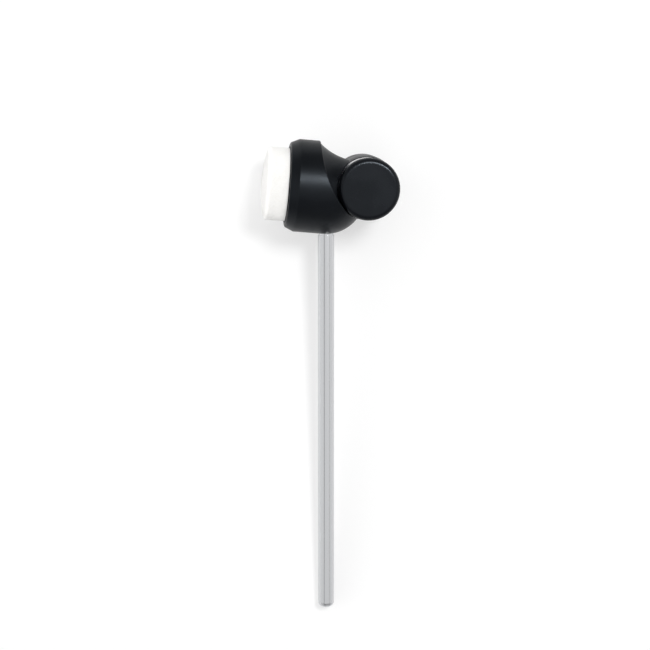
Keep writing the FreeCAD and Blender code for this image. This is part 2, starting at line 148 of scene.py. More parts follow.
# Loose fibres: spans of the random lift off the felt, bend aside, bend back and share of full length,
# and the share of its radius that a fibre loses towards its tip
FIBRE_SEED = 31
FIBRE_RINGS = 5
FIBRE_SIDES = 3
FIBRE_SUNK = 0.05 * MILLIMETRE
FIBRE_LIFT = (0.1, 0.7)
FIBRE_ASIDE = (-0.6, 0.6)
FIBRE_RETURN = (0.0, 0.35)
FIBRE_LENGTHS = (0.3, 1.0)
FIBRE_TAPER = 0.7

# Stage: lamps, and where the room that mirrors show fades, by a direction's Z; each dark gap has its
# azimuth and its depth
SENSOR_WIDTH = 36.0
TABLE_GAP = 0.3 * MILLIMETRE
KEY_PLACE = {"azimuth": math.radians(16.0), "elevation": math.radians(24.0), "distance": 1.4}
KEY_SIZE = (0.35, 0.35)
STRIP_PLACE = {"azimuth": math.radians(18.0), "elevation": math.radians(24.0), "distance": 1.4}
STRIP_SIZE = (0.9, 0.12)
LOBE_POWER = 4.0
ROOM_FLOOR = (-0.5, -0.33)
ROOM_CEILING = (0.12, 0.6)
ROOM_GAPS = ((math.radians(-31.0), 0.75), (math.radians(47.0), 0.4))
ROOM_GAP_WIDTH = math.radians(7.0)


# Points and meshes

def head_span(node):
    """Lowest and highest corner of a CAD node along the head's own axes."""
    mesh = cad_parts[node].data
    points = np.empty(len(mesh.vertices) * 3)
    mesh.vertices.foreach_get("co", points)
    local = points.reshape(-1, 3) @ HEAD_AXES.T
    return local.min(axis=0), local.max(axis=0)


def smooth_noise(points, cell, seed):
    """Value noise from -1 to 1: random numbers on a cubic lattice, blended by smoothstep between them."""
    generator = np.random.default_rng(seed)
    lattice = generator.uniform(-1.0, 1.0, (NOISE_LATTICE,) * 3)
    place = points / cell
    corner = np.floor(place).astype(int)
    share = place - corner
    share = share * share * (3.0 - 2.0 * share)
    total = np.zeros(len(points))
    for step in np.ndindex(2, 2, 2):
        index = (corner + step) % NOISE_LATTICE
        weight = np.where(step, share, 1.0 - share).prod(axis=1)
        total += weight * lattice[index[:, 0], index[:, 1], index[:, 2]]
    return total


def unit(vectors):
    """Vectors scaled to a length of one."""
    return vectors / np.linalg.norm(vectors, axis=-1, keepdims=True)


def new_piece(name, points, faces, finish):
    """Object at the origin whose mesh holds the points, with smooth faces and one material."""
    mesh = bpy.data.meshes.new(name)
    mesh.from_pydata(points, [], faces)
    mesh.shade_smooth()
    mesh.materials.append(finish)
    piece = bpy.data.objects.new(name, mesh)
    bpy.context.scene.collection.objects.link(piece)
    return piece


def ring_quads(rows, columns):
    """Quads between neighbouring rings of points, each ring closed on itself."""
    index = np.arange(rows * columns).reshape(rows, columns)
    beside = np.roll(index, -1, axis=1)
    return np.stack([index[:-1], beside[:-1], beside[1:], index[1:]], axis=-1).reshape(-1, 4)


def arc_points(centre, radius, start, end, count):
    """Points (x, r) of an arc: the centre plus radius times cosine and sine of evenly spaced angles."""
    angle = np.linspace(start, end, count)
    return np.stack([centre[0] + radius * np.cos(angle), centre[1] + radius * np.sin(angle)], axis=1)


# Shader nodes

def add(tree, kind, inputs=None, **settings):
    """Adds a node, sets its properties, and fills each input with a value or a link from a socket."""
    made = tree.nodes.new(kind)
    for name, value in settings.items():
        setattr(made, name, value)
    for socket, value in (inputs or {}).items():
        fill(tree, made.inputs[socket], value)
    return made


def fill(tree, socket, value):
    """Links an input to another node's socket, or sets it to a plain value."""
    if isinstance(value, bpy.types.NodeSocket):
        tree.links.new(value, socket)
    else:
        socket.default_value = value


def compute(tree, operation, *values):
    """Output of a Math node on one to three values or sockets."""
    made = add(tree, "ShaderNodeMath", dict(enumerate(values)), operation=operation)
    return made.outputs[0]


def span(tree, value, low, high, to_low=0.0, to_high=1.0):
    """Value carried smoothly from the span low to high onto the span to_low to to_high."""
    inputs = {"Value": value, "From Min": low, "From Max": high, "To Min": to_low, "To Max": to_high}
    made = add(tree, "ShaderNodeMapRange", inputs, interpolation_type="SMOOTHSTEP")
    return made.outputs["Result"]


def mix_colour(tree, factor, first, second):
    """Colour that goes from first to second as the factor goes from 0 to 1."""
    made = add(tree, "ShaderNodeMix", data_type="RGBA")
    colours = [socket for socket in made.inputs if socket.type == "RGBA"]
    fill(tree, made.inputs["Factor"], factor)
    fill(tree, colours[0], first)
    fill(tree, colours[1], second)
    return next(socket for socket in made.outputs if socket.type == "RGBA")


def noise(tree, vector, scale, detail=2.0, distortion=0.0):
    """Noise from 0 to 1, with a scale in waves to the unit of its coordinates."""
    inputs = {"Vector": vector, "Scale": scale, "Detail": detail, "Distortion": distortion}
    return add(tree, "ShaderNodeTexNoise", inputs).outputs["Fac"]


def stretched(tree, vector, scale, rotation=(0.0, 0.0, 0.0)):
    """Coordinates scaled along each axis and then turned."""
    inputs = {"Vector": vector, "Scale": scale, "Rotation": rotation}
    return add(tree, "ShaderNodeMapping", inputs).outputs["Vector"]


def bump(tree, height, depth, strength):
    """Normal of a surface that is raised by the height times the depth."""
    inputs = {"Height": height, "Distance": depth, "Strength": strength}
    return add(tree, "ShaderNodeBump", inputs).outputs["Normal"]


def tint(colour, share=1.0, lift=0.0):
    """Colour times a share plus a lift, no part above 1, with the alpha that a socket takes."""
    return (*[min(1.0, part * share + lift) for part in colour], 1.0)


def shared_group(name, inputs, outputs, build):
    """Node group with named sockets, built the first time that it is asked for."""
    made = bpy.data.node_groups.get(name)
    if made:
        return made
    made = bpy.data.node_groups.new(name, "ShaderNodeTree")
    for label, kind in inputs.items():
        made.interface.new_socket(label, in_out="INPUT", socket_type=kind)
    for label, kind in outputs.items():
        made.interface.new_socket(label, in_out="OUTPUT", socket_type=kind)
    source = made.nodes.new("NodeGroupInput").outputs
    target = made.nodes.new("NodeGroupOutput").inputs
    for label, socket in build(made, source).items():
        made.links.new(socket, target[label])
    return made


def placed(tree, group, **inputs):
    """Outputs of a node group that is placed in a material with its inputs filled."""
    made = add(tree, "ShaderNodeGroup", node_tree=group)
    for label, value in inputs.items():
        fill(tree, made.inputs[label], value)
    return made.outputs


def moulded_grain():
    """Fine pebbles of a spark-eroded mould as Height, and slow changes of gloss as Cloud."""

    def build(tree, source):
        scale = compute(tree, "DIVIDE", 1.0, source["Size"])
        return {
            "Height": noise(tree, source["Vector"], scale, detail=3.0),
            "Cloud": noise(tree, source["Vector"], CLOUD_SCALE, detail=4.0),
        }

    inputs = {"Vector": "NodeSocketVector", "Size": "NodeSocketFloat"}
    outputs = {"Height": "NodeSocketFloat", "Cloud": "NodeSocketFloat"}
    return shared_group("Moulded grain", inputs, outputs, build)


def handling_marks():
    """Three layers of hairlines along Y as Mask: noise drawn out a hundredfold, of which peaks stay."""

    def build(tree, source):
        total = None
        for turn in HAIRLINE_TURNS:
            along = stretched(tree, source["Vector"], HAIRLINE_SCALE, turn)
            line = span(tree, noise(tree, along, scale=1.0, detail=1.0), low=0.69, high=0.76)
            total = line if total is None else compute(tree, "MAXIMUM", total, line)
        patches = span(tree, noise(tree, source["Vector"], MARKED_PATCH_SCALE), low=0.42, high=0.62)
        return {"Mask": compute(tree, "MULTIPLY", total, patches)}

    return shared_group(
        "Handling marks", {"Vector": "NodeSocketVector"}, {"Mask": "NodeSocketFloat"}, build
    )


def rubbed_edge():
    """Edges as Mask, where hands polish them and where the moulding gets a painted edge highlight: where
    the normal differs from that of a rounded edge.
    """

    def build(tree, source):
        rounded = add(tree, "ShaderNodeBevel", {"Radius": source["Radius"]}, samples=6)
        plain = add(tree, "ShaderNodeNewGeometry").outputs["Normal"]
        inputs = {0: rounded.outputs["Normal"], 1: plain}
        along = add(tree, "ShaderNodeVectorMath", inputs, operation="DOT_PRODUCT").outputs["Value"]
        edge = span(tree, along, low=0.995, high=0.9)
        blotches = noise(tree, source["Vector"], UNEVEN_EDGE_SCALE, detail=3.0)
        uneven = span(tree, blotches, low=0.35, high=0.7, to_low=0.35, to_high=1.0)
        return {"Mask": compute(tree, "MULTIPLY", edge, uneven)}

    inputs = {"Vector": "NodeSocketVector", "Radius": "NodeSocketFloat"}
    return shared_group("Rubbed edge", inputs, {"Mask": "NodeSocketFloat"}, build)


def machined_lines():
    """Fine tool lines as Height and Tone: noise in coordinates that are scaled up across the lines."""

    def build(tree, source):
        return {
            "Height": noise(tree, source["Vector"], scale=1.0, detail=3.0),
            "Tone": noise(tree, source["Vector"], scale=0.23, detail=2.0),
        }

    outputs = {"Height": "NodeSocketFloat", "Tone": "NodeSocketFloat"}
    return shared_group("Machined lines", {"Vector": "NodeSocketVector"}, outputs, build)


def new_material(name, **constants):
    """Material with a Principled shader whose plain values are set, and Object coordinates."""
    made = bpy.data.materials.new(name)
    made.use_nodes = True
    tree = made.node_tree
    shader = tree.nodes["Principled BSDF"]
    for label, value in constants.items():
        shader.inputs[label.replace("_", " ")].default_value = value
    return made, tree, shader.inputs, add(tree, "ShaderNodeTexCoord").outputs["Object"]


# Finishes

def moulded_plastic(name, colour, roughness, sheen, grain_size):
    """Satin moulding: pebble grain, cloudy gloss, faint hairlines, and rubbed edges that are smoother and
    painted paler, partly as wear and partly as a painted edge highlight.
    """
    made, tree, shader, place = new_material(
        name, IOR=1.46, Specular_IOR_Level=sheen, Specular_Tint=tint(COOL_GLOSS)
    )
    grain = placed(tree, moulded_grain(), Vector=place, Size=grain_size)
    marks = placed(tree, handling_marks(), Vector=place)["Mask"]
    rubbed = placed(tree, rubbed_edge(), Vector=place, Radius=MOULDED_EDGE)["Mask"]
    # Rubbed edges and hairlines turn paler: hairlines as wear, edges partly as wear and partly as a painted
    # highlight
    edges = compute(tree, "MULTIPLY", rubbed, PLASTIC_EDGE_WEAR_AND_HIGHLIGHT)
    hairlines = compute(tree, "MULTIPLY", marks, PLASTIC_HAIRLINE_WEAR)
    wear_and_edge_highlight = compute(tree, "MAXIMUM", edges, hairlines)
    clouded = mix_colour(tree, grain["Cloud"], tint(colour), tint(colour, share=1.35))
    paler = tint(colour, share=2.6, lift=0.006)
    fill(tree, shader["Base Color"], mix_colour(tree, wear_and_edge_highlight, clouded, paler))
    gloss = span(
        tree, grain["Cloud"], low=0.3, high=0.7, to_low=roughness - 0.04, to_high=roughness + 0.05
    )
    worn_gloss = compute(tree, "MULTIPLY_ADD", wear_and_edge_highlight, PLASTIC_WEAR_ROUGHNESS, gloss)
    fill(tree, shader["Roughness"], worn_gloss)
    fill(tree, shader["Normal"], bump(tree, grain["Height"], MOULDED_DEPTH, strength=0.5))
    return made


def cap_plastic(name, settings):
    """The smoother moulding of the caps on the drum."""
    return moulded_plastic(
        name, settings.cap_colour, roughness=0.25, sheen=0.32, grain_size=settings.grain_size
    )


def machined_metal(name, colour, roughness, line_scale, depth, ground_end=None):
    """Bright metal with tool lines along the axes of least scale, and hairlines from handling.

    Where ground_end is given, the metal turns matt towards that height, as an end that was ground round.
    """
    made, tree, shader, place = new_material(name, Metallic=1.0)
    lines = placed(tree, machined_lines(), Vector=stretched(tree, place, line_scale))
    marks = placed(tree, handling_marks(), Vector=place)["Mask"]
    toned = mix_colour(tree, lines["Tone"], tint(colour, share=0.86), tint(colour))
    hairlines = compute(tree, "MULTIPLY", marks, METAL_HAIRLINE_WEAR)
    fill(tree, shader["Base Color"], mix_colour(tree, hairlines, toned, tint(HAIRLINE_BRIGHT)))
    gloss = span(
        tree, lines["Tone"], low=0.25, high=0.75, to_low=roughness - 0.05, to_high=roughness + 0.07
    )
    if ground_end is not None:
        height = add(tree, "ShaderNodeSeparateXYZ", {0: place}).outputs["Z"]
        matt = span(tree, height, ground_end + GROUND_LENGTH, ground_end, to_high=GROUND_ROUGHNESS)
        gloss = compute(tree, "ADD", gloss, matt)
    marked_gloss = compute(tree, "MULTIPLY_ADD", marks, METAL_HAIRLINE_ROUGHNESS, gloss)
    fill(tree, shader["Roughness"], marked_gloss)
    fill(tree, shader["Normal"], bump(tree, lines["Height"], depth, strength=0.6))
    return made


def plated_metal(name, colour, roughness):
    """Small plated or blackened fitting: cloudy tone, orange-peel surface and rubbed edges."""
    made, tree, shader, place = new_material(name, Metallic=1.0)
    grain = placed(tree, moulded_grain(), Vector=place, Size=PLATED_GRAIN)
    rubbed = placed(tree, rubbed_edge(), Vector=place, Radius=PLATED_EDGE)["Mask"]
    clouded = mix_colour(tree, grain["Cloud"], tint(colour, share=0.8), tint(colour))
    paler = tint(colour, share=1.5, lift=0.12)
    fill(tree, shader["Base Color"], mix_colour(tree, rubbed, clouded, paler))
    gloss = span(
        tree, grain["Cloud"], low=0.3, high=0.7, to_low=roughness - 0.06, to_high=roughness + 0.08
    )
    fill(tree, shader["Roughness"], gloss)
    fill(tree, shader["Normal"], bump(tree, grain["Height"], PLATED_DEPTH, strength=0.4))
    return made


def soft_rubber(name, colour):
    """Matt rubber with a talc bloom in patches."""
    made, tree, shader, place = new_material(name, IOR=1.5)
    grain = placed(tree, moulded_grain(), Vector=place, Size=RUBBER_GRAIN)
    bloom = span(tree, grain["Cloud"], low=0.45, high=0.75)
    dusted = mix_colour(tree, bloom, tint(colour), tint(colour, share=3.0))
    fill(tree, shader["Base Color"], dusted)
    fill(tree, shader["Roughness"], span(tree, bloom, low=0.0, high=1.0, to_low=0.55, to_high=0.8))
    fill(tree, shader["Normal"], bump(tree, grain["Height"], RUBBER_DEPTH, strength=0.5))
    return made


def pressed_felt(name, colour):
    """White wool felt: matted fibres in the normal, slow warm blotches in the colour, painted shade where
    its bumps are low, and a soft sheen.
    """
    made, tree, shader, place = new_material(
        name, Sheen_Weight=0.7, Sheen_Roughness=0.5, Specular_IOR_Level=0.15
    )
    matted = noise(tree, place, FELT_MATTED_SCALE, detail=6.0, distortion=2.4)
    combed = stretched(tree, place, FELT_STRAND_SCALE, FELT_STRAND_TURN)
    strands = noise(tree, combed, scale=1.0, detail=4.0, distortion=1.6)
    blotches = noise(tree, place, FELT_BLOTCH_SCALE, detail=5.0)
    height = compute(tree, "ADD", matted, strands)
    # Painted shade: the colour turns to the felt's darker tone where its bumps are low
    painted_hollow_shade = span(tree, height, low=1.15, high=0.7)
    blotched = compute(tree, "MULTIPLY", blotches, FELT_BLOTCH_SHARE)
    tone = compute(tree, "MULTIPLY_ADD", painted_hollow_shade, FELT_PAINTED_SHADE_SHARE, blotched)
    shade = tint([part * share for part, share in zip(colour, FELT_SHADE)])
    fill(tree, shader["Base Color"], mix_colour(tree, tone, tint(colour), shade))
    fill(tree, shader["Roughness"], span(tree, matted, low=0.3, high=0.7, to_low=0.88, to_high=1.0))
    fill(tree, shader["Normal"], bump(tree, height, FELT_DEPTH, strength=0.45))
    return made


def dress(finish, *nodes):
    """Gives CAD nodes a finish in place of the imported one."""
    for name in nodes:
        for material_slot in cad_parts[name].material_slots:
            material_slot.material = finish


# Felt pad

def felt_profile(radius, back, edge, crown, edge_round):
    """Half outline (x, r) of the pad: flat back, straight side, rounded edge and crown.

    The crown is an arc that starts at x = edge on the full radius r and bulges by c, so its circle has
    radius (r*r + c*c) / 2c. The rounded edge is a quarter circle of radius edge_round between the side
    and the crown.
    """
    crown_radius = (radius ** 2 + crown ** 2) / (2 * crown)
    crown_centre = edge - crown + crown_radius
    inner = radius - edge_round
    lean = math.asin(inner / crown_radius)
    face = arc_points((crown_centre, 0.0), crown_radius, math.pi - lean, math.pi, CROWN_POINTS)
    drop = face[0, 0] + edge_round
    rounding = arc_points((drop, inner), edge_round, math.pi / 2, math.pi, EDGE_POINTS)[1:-1]
    bottom = np.stack([np.full(BACK_POINTS, back), np.linspace(0.0, radius, BACK_POINTS)], axis=1)
    side = np.stack([np.linspace(back, drop, SIDE_POINTS), np.full(SIDE_POINTS, radius)], axis=1)[1:]
    return np.concatenate([bottom, side, rounding, face])


def felt_surface(settings):
    """Rings of points round the pad's axis, pushed out and in by noise, with the outward direction of each.

    A ring is a point of the profile turned about the axis, and its outward direction is the profile's
    slope (x', r') turned by a quarter to (r', -x'). The noise has two wavelengths, about 7 mm for the lay
    of the felt and about 1 mm for its matted surface, and leaves the flat back alone. The two poles close
    the surface in the middle of the back and of the face.
    """
    low, high = head_span("felt_pad")
    centre = (low + high) / 2
    radius = (high[1] - low[1]) / 2
    crown = settings.felt_crown
    profile = felt_profile(radius, high[0], low[0] + crown, crown, settings.felt_edge_round)
    rings = profile[1:-1, None]
    turns = np.linspace(0.0, 2 * math.pi, settings.felt_columns, endpoint=False)
    spokes = np.stack([np.zeros_like(turns), np.cos(turns), np.sin(turns)], axis=1)
    forward = np.array([1.0, 0.0, 0.0])
    axis_point = np.array([0.0, centre[1], centre[2]])
    points = axis_point + rings[..., 0:1] * forward + rings[..., 1:2] * spokes
    slope = unit(np.gradient(profile, axis=0)[1:-1, None])
    outward = slope[..., 1:2] * forward - slope[..., 0:1] * spokes
    outward = np.where(rings[..., 0:1] > high[0] - ROUNDING_ERROR, 0.0, outward)
    flat = points.reshape(-1, 3)
    lay = sum(share * smooth_noise(flat, cell, seed) for cell, share, seed in FELT_WAVES)
    pushed = points + outward * (lay.reshape(points.shape[:2]) * settings.felt_unevenness)[..., None]
    poles = np.array([[high[0], centre[1], centre[2]], [low[0], centre[1], centre[2]]])
    return pushed, outward, poles


def make_felt(settings):
    """Felt pad: quads between its rings of points, and a fan of triangles round each pole."""
    rings, _, poles = felt_surface(settings)
    rows, columns = rings.shape[:2]
    points = np.concatenate([rings.reshape(-1, 3), poles]) @ HEAD_AXES
    first = np.arange(columns)
    last = first + (rows - 1) * columns
    back_pole = np.full(columns, rows * columns)
    back_fan = np.stack([first, np.roll(first, -1), back_pole], axis=1)
    front_fan = np.stack([np.roll(last, -1), last, back_pole + 1], axis=1)
    quads = ring_quads(rows, columns)[:, ::-1]
    faces = quads.tolist() + back_fan.tolist() + front_fan.tolist()
    finish = pressed_felt("Pressed felt", settings.felt_colour)
    felt = new_piece("felt_dome", points.tolist(), faces, finish)
    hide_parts("felt_pad")
    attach(felt, "head")


def fibre_roots(settings, generator):
    """Random places on the felt in front of the rim, with the outward direction at each.

    A row of the grid is drawn with a chance that grows with its ring's area, and a place is blended from
    the row's point and the points beside and after it.
    """
    rings, outward, _ = felt_surface(settings)
    rim_front = head_span("head_shell")[0][0]
    step = np.linalg.norm(np.diff(rings[:, 0], axis=0), axis=1)
    radius = np.ptp(rings[:-1, :, 1], axis=1) / 2
    clear = rings[1:, 0, 0] < rim_front - settings.fuzz_length
    chance = step * radius * clear
    rows = generator.choice(len(step), settings.fuzz_count, p=chance / chance.sum())
    columns = generator.integers(rings.shape[1], size=settings.fuzz_count)
    along, round_axis = generator.uniform(size=(2, settings.fuzz_count, 1))
    here = rings[rows, columns]
    after = rings[rows + 1, columns] - here
    beside = rings[rows, columns - 1] - here
    return here + along * after + round_axis * beside, outward[rows, columns]


def fibre_points(settings):
    """Rings of points of every fibre: spine root + d*L*t + b*L*t*t, with a section that thins with t.

    The direction d leans from the felt's outward normal to a random tangent, and the bend b turns the
    fibre aside and back to the felt. L is the fibre's length and t runs from 0 at the root to 1 at the tip.
    """
    generator = np.random.default_rng(FIBRE_SEED)
    roots, normal = fibre_roots(settings, generator)
    count = len(roots)
    tangent = unit(np.cross(normal, generator.normal(size=(count, 3))))
    direction = unit(tangent + normal * generator.uniform(*FIBRE_LIFT, (count, 1)))
    aside = np.cross(normal, tangent) * generator.uniform(*FIBRE_ASIDE, (count, 1))
    bend = aside - normal * generator.uniform(*FIBRE_RETURN, (count, 1))
    length = settings.fuzz_length * generator.uniform(*FIBRE_LENGTHS, (count, 1, 1))
    t = np.linspace(0.0, 1.0, FIBRE_RINGS)[None, :, None]
    reach = length * (direction[:, None] * t + bend[:, None] * t * t)
    spine = (roots - normal * FIBRE_SUNK)[:, None] + reach
    across = unit(np.cross(direction, normal))
    upward = np.cross(direction, across)
    turn = np.linspace(0.0, 2 * math.pi, FIBRE_SIDES, endpoint=False)[:, None, None, None]
    spoke = np.cos(turn) * across[None, :, None] + np.sin(turn) * upward[None, :, None]
    rings = spine[None] + spoke * (settings.fuzz_radius * (1.0 - FIBRE_TAPER * t))[None]
    return rings.transpose(1, 2, 0, 3)


def make_fuzz(settings):
    """Loose fibres in one mesh: each a thin tube of quads with a closed root and tip."""
    points = fibre_points(settings)
    size = FIBRE_RINGS * FIBRE_SIDES
    first = np.arange(len(points))[:, None, None] * size
    quads = (ring_quads(FIBRE_RINGS, FIBRE_SIDES)[None] + first).reshape(-1, 4)
    ends = np.array([np.arange(FIBRE_SIDES)[::-1], size - FIBRE_SIDES + np.arange(FIBRE_SIDES)])
    caps = (ends[None] + first).reshape(-1, FIBRE_SIDES)
    places = points.reshape(-1, 3) @ HEAD_AXES
    finish = pressed_felt("Loose fibres", settings.felt_colour)
    fuzz = new_piece("felt_fuzz", places.tolist(), quads.tolist() + caps.tolist(), finish)
    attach(fuzz, "head")


# Stage

def look_from(azimuth, elevation):
    """Unit vector from the object towards a viewer; azimuth 0 stands on the -Y side."""
    return Vector(
        (
            math.sin(azimuth) * math.cos(elevation),
            -math.cos(azimuth) * math.cos(elevation),
            math.sin(elevation),
        )
    )


def aim(thing, look_at, azimuth, elevation, distance):
    """Puts a camera or lamp into the scene at a distance from a point, facing that point."""
    back = look_from(azimuth, elevation)
    thing.location = Vector(look_at) + back * distance
    thing.rotation_euler = (-back).to_track_quat("-Z", "Y").to_euler()
    bpy.context.scene.collection.objects.link(thing)


def set_camera(settings):
    """Camera that looks at the middle of the picture."""
    data = bpy.data.cameras.new("camera")
    data.lens = settings.lens
    data.sensor_width = SENSOR_WIDTH
    camera = bpy.data.objects.new("camera", data)
    aim(
        camera,
        settings.look_at,
        settings.camera_azimuth,
        settings.camera_elevation,
        settings.camera_distance,
    )
    bpy.context.scene.camera = camera


def set_lamp(name, settings, place, size, power):
    """Soft box, size wide and high, that faces the object from its place."""
    data = bpy.data.lights.new(name, "AREA")
    data.shape = "RECTANGLE"
    data.size, data.size_y = size
    data.energy = power
    lamp = bpy.data.objects.new(name, data)
    aim(lamp, settings.look_at, **place)
    return lamp


def table_material(settings):
    """White table top that keeps the shadow, and that can't be seen from underneath."""
    made = bpy.data.materials.new("Table top")
    made.use_nodes = True
    tree = made.node_tree
    tree.nodes.clear()
    tone = (settings.table_tone,) * 3
    white = add(tree, "ShaderNodeBsdfDiffuse", {"Color": tint(tone)}).outputs[0]
    path = add(tree, "ShaderNodeLightPath").outputs
    mirrored = compute(tree, "MAXIMUM", path["Is Glossy Ray"], path["Is Transmission Ray"])
    in_mirrors = compute(tree, "MULTIPLY", mirrored, settings.table_mirrored)
    strength = compute(tree, "MULTIPLY_ADD", path["Is Camera Ray"], settings.table_glow, in_mirrors)
    glow = add(tree, "ShaderNodeEmission", {"Strength": strength}).outputs[0]
    lit = add(tree, "ShaderNodeAddShader", {0: white, 1: glow}).outputs[0]
    clear = add(tree, "ShaderNodeBsdfTransparent").outputs[0]
    behind = add(tree, "ShaderNodeNewGeometry").outputs["Backfacing"]
    surface = add(tree, "ShaderNodeMixShader", {0: behind, 1: lit, 2: clear}).outputs[0]
    add(tree, "ShaderNodeOutputMaterial", {"Surface": surface})
    return made


def set_table(settings):
    """Table top under the lying beater: a plane just clear of the shaft's tip and the head's far side."""
    tip_low, tip_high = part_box("shaft")
    head_low, head_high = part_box("head_shell")
    head_middle = (head_low.z + head_high.z) / 2
    rise = Vector((0.0, head_high.y - tip_high.y, head_middle - tip_low.z)).normalized()
    length = CAD_BOX[1].z - CAD_BOX[0].z
    middle = Vector((0.0, tip_high.y + TABLE_GAP, tip_low.z)) + rise * length / 2
    half = settings.table_width / 2
    across = Vector((half, 0.0, 0.0))
    along = rise * half
    signs = ((-1, -1), (1, -1), (1, 1), (-1, 1))
    corners = [tuple(middle + across * x + along * z) for x, z in signs]
    table = new_piece("table_top", corners, [(0, 1, 2, 3)], table_material(settings))


def room_direction(tree):
    """X, Y and Z of the direction in which a ray leaves for the room."""
    direction = add(tree, "ShaderNodeTexCoord").outputs["Generated"]
    return add(tree, "ShaderNodeSeparateXYZ", {0: direction}).outputs


def room_glow(tree, settings):
    """Faint even light, with more from above, from below and from the side that the felt faces.

    The side's light and the light from below go with a power of the direction's part along that axis,
    which keeps them narrow.
    """
    part = room_direction(tree)
    above = compute(tree, "MAXIMUM", part["Z"], 0.0)
    glow = compute(tree, "MULTIPLY_ADD", above, settings.room_top, settings.room_light)
    for axis, strength in (("X", settings.room_side), ("Z", settings.room_under)):
        toward = compute(tree, "MAXIMUM", compute(tree, "MULTIPLY", part[axis], -1.0), 0.0)
        lobe = compute(tree, "POWER", toward, LOBE_POWER)
        glow = compute(tree, "MULTIPLY_ADD", lobe, strength, glow)
    return glow


def room_band(tree, settings):
    """Room as a mirror shows it: pale at the horizon, dim above and below, with two narrow dark gaps."""
    part = room_direction(tree)
    below = span(tree, part["Z"], *ROOM_FLOOR, settings.room_dark, settings.room_pale)
    above = span(tree, part["Z"], *ROOM_CEILING, settings.room_pale, settings.room_dim)
    band = compute(tree, "MINIMUM", below, above)
    ahead = compute(tree, "MULTIPLY", part["Y"], -1.0)
    azimuth = compute(tree, "ARCTAN2", part["X"], ahead)
    for centre, depth in ROOM_GAPS:
        away = compute(tree, "ABSOLUTE", compute(tree, "SUBTRACT", azimuth, centre))
        gap = span(tree, away, 0.0, ROOM_GAP_WIDTH, to_low=1.0 - depth)
        band = compute(tree, "MULTIPLY", band, gap)
    return band


def background(tree, strength):
    """White light of a strength from every direction."""
    inputs = {"Color": (1.0, 1.0, 1.0, 1.0), "Strength": strength}
    return add(tree, "ShaderNodeBackground", inputs).outputs[0]


def set_room(settings):
    """Plain room: white to the viewer, a pale band in mirrors, and a soft light."""
    world = bpy.data.worlds.new("room")
    world.use_nodes = True
    tree = world.node_tree
    tree.nodes.clear()
    path = add(tree, "ShaderNodeLightPath").outputs
    mirrored = compute(tree, "MAXIMUM", path["Is Glossy Ray"], path["Is Transmission Ray"])
    light = background(tree, room_glow(tree, settings))
    band = background(tree, room_band(tree, settings))
    white = background(tree, 1.0)
    unseen = add(tree, "ShaderNodeMixShader", {0: mirrored, 1: light, 2: band}).outputs[0]
    shown = add(tree, "ShaderNodeMixShader", {0: path["Is Camera Ray"], 1: unseen, 2: white}).outputs[0]
    add(tree, "ShaderNodeOutputWorld", {"Surface": shown})
    bpy.context.scene.world = world
    bpy.context.scene.view_settings.view_transform = "Standard"


# Settings, operators and panel

class BeaterFinish(bpy.types.PropertyGroup):
    """Colours and small sizes of the beater's finishes."""

    plastic_colour: FloatVectorProperty(
        name="Plastic",
        description="Base colour of the moulded head",
        subtype="COLOR",
        default=(0.0024, 0.0028, 0.0038),
    )
    cap_colour: FloatVectorProperty(
        name="Caps",
        description="Base colour of the caps on the drum",
        subtype="COLOR",
        default=(0.0024, 0.0026, 0.0036),
    )
    steel_colour: FloatVectorProperty(
        name="Shaft",
        description="Base colour of the plated shaft",
        subtype="COLOR",
        default=(0.82, 0.83, 0.85),
    )
    weight_colour: FloatVectorProperty(
        name="Weight",
        description="Base colour of the turned weight",
        subtype="COLOR",
        default=(0.91, 0.91, 0.92),
    )
    felt_colour: FloatVectorProperty(
        name="Felt",
        description="Base colour of the felt",
        subtype="COLOR",
        default=(0.93, 0.925, 0.91),
    )
    grain_size: FloatProperty(
        name="Grain",
        description="Size of the mould's pebbles",
        unit="LENGTH",
        default=0.32 * MILLIMETRE,
    )
    felt_crown: FloatProperty(
        name="Felt crown",
        description="Bulge of the striking face",
        unit="LENGTH",
        default=2.4 * MILLIMETRE,
    )
    felt_edge_round: FloatProperty(
        name="Felt edge",
        description="Rounding of the striking edge",
        unit="LENGTH",
        default=1.9 * MILLIMETRE,
    )
    felt_unevenness: FloatProperty(
        name="Felt unevenness",
        description="Height of the felt's bumps",
        unit="LENGTH",
        default=0.16 * MILLIMETRE,
    )
    felt_columns: IntProperty(name="Felt columns", description="Points round the felt", default=360)
    fuzz_count: IntProperty(name="Fibres", description="Loose fibres on the felt", default=2400)
    fuzz_length: FloatProperty(
        name="Fibre length",
        description="Longest loose fibre",
        unit="LENGTH",
        default=1.2 * MILLIMETRE,
    )
    fuzz_radius: FloatProperty(
        name="Fibre radius",
        description="Radius of a fibre at its root",
        unit="LENGTH",
        default=0.016 * MILLIMETRE,
    )


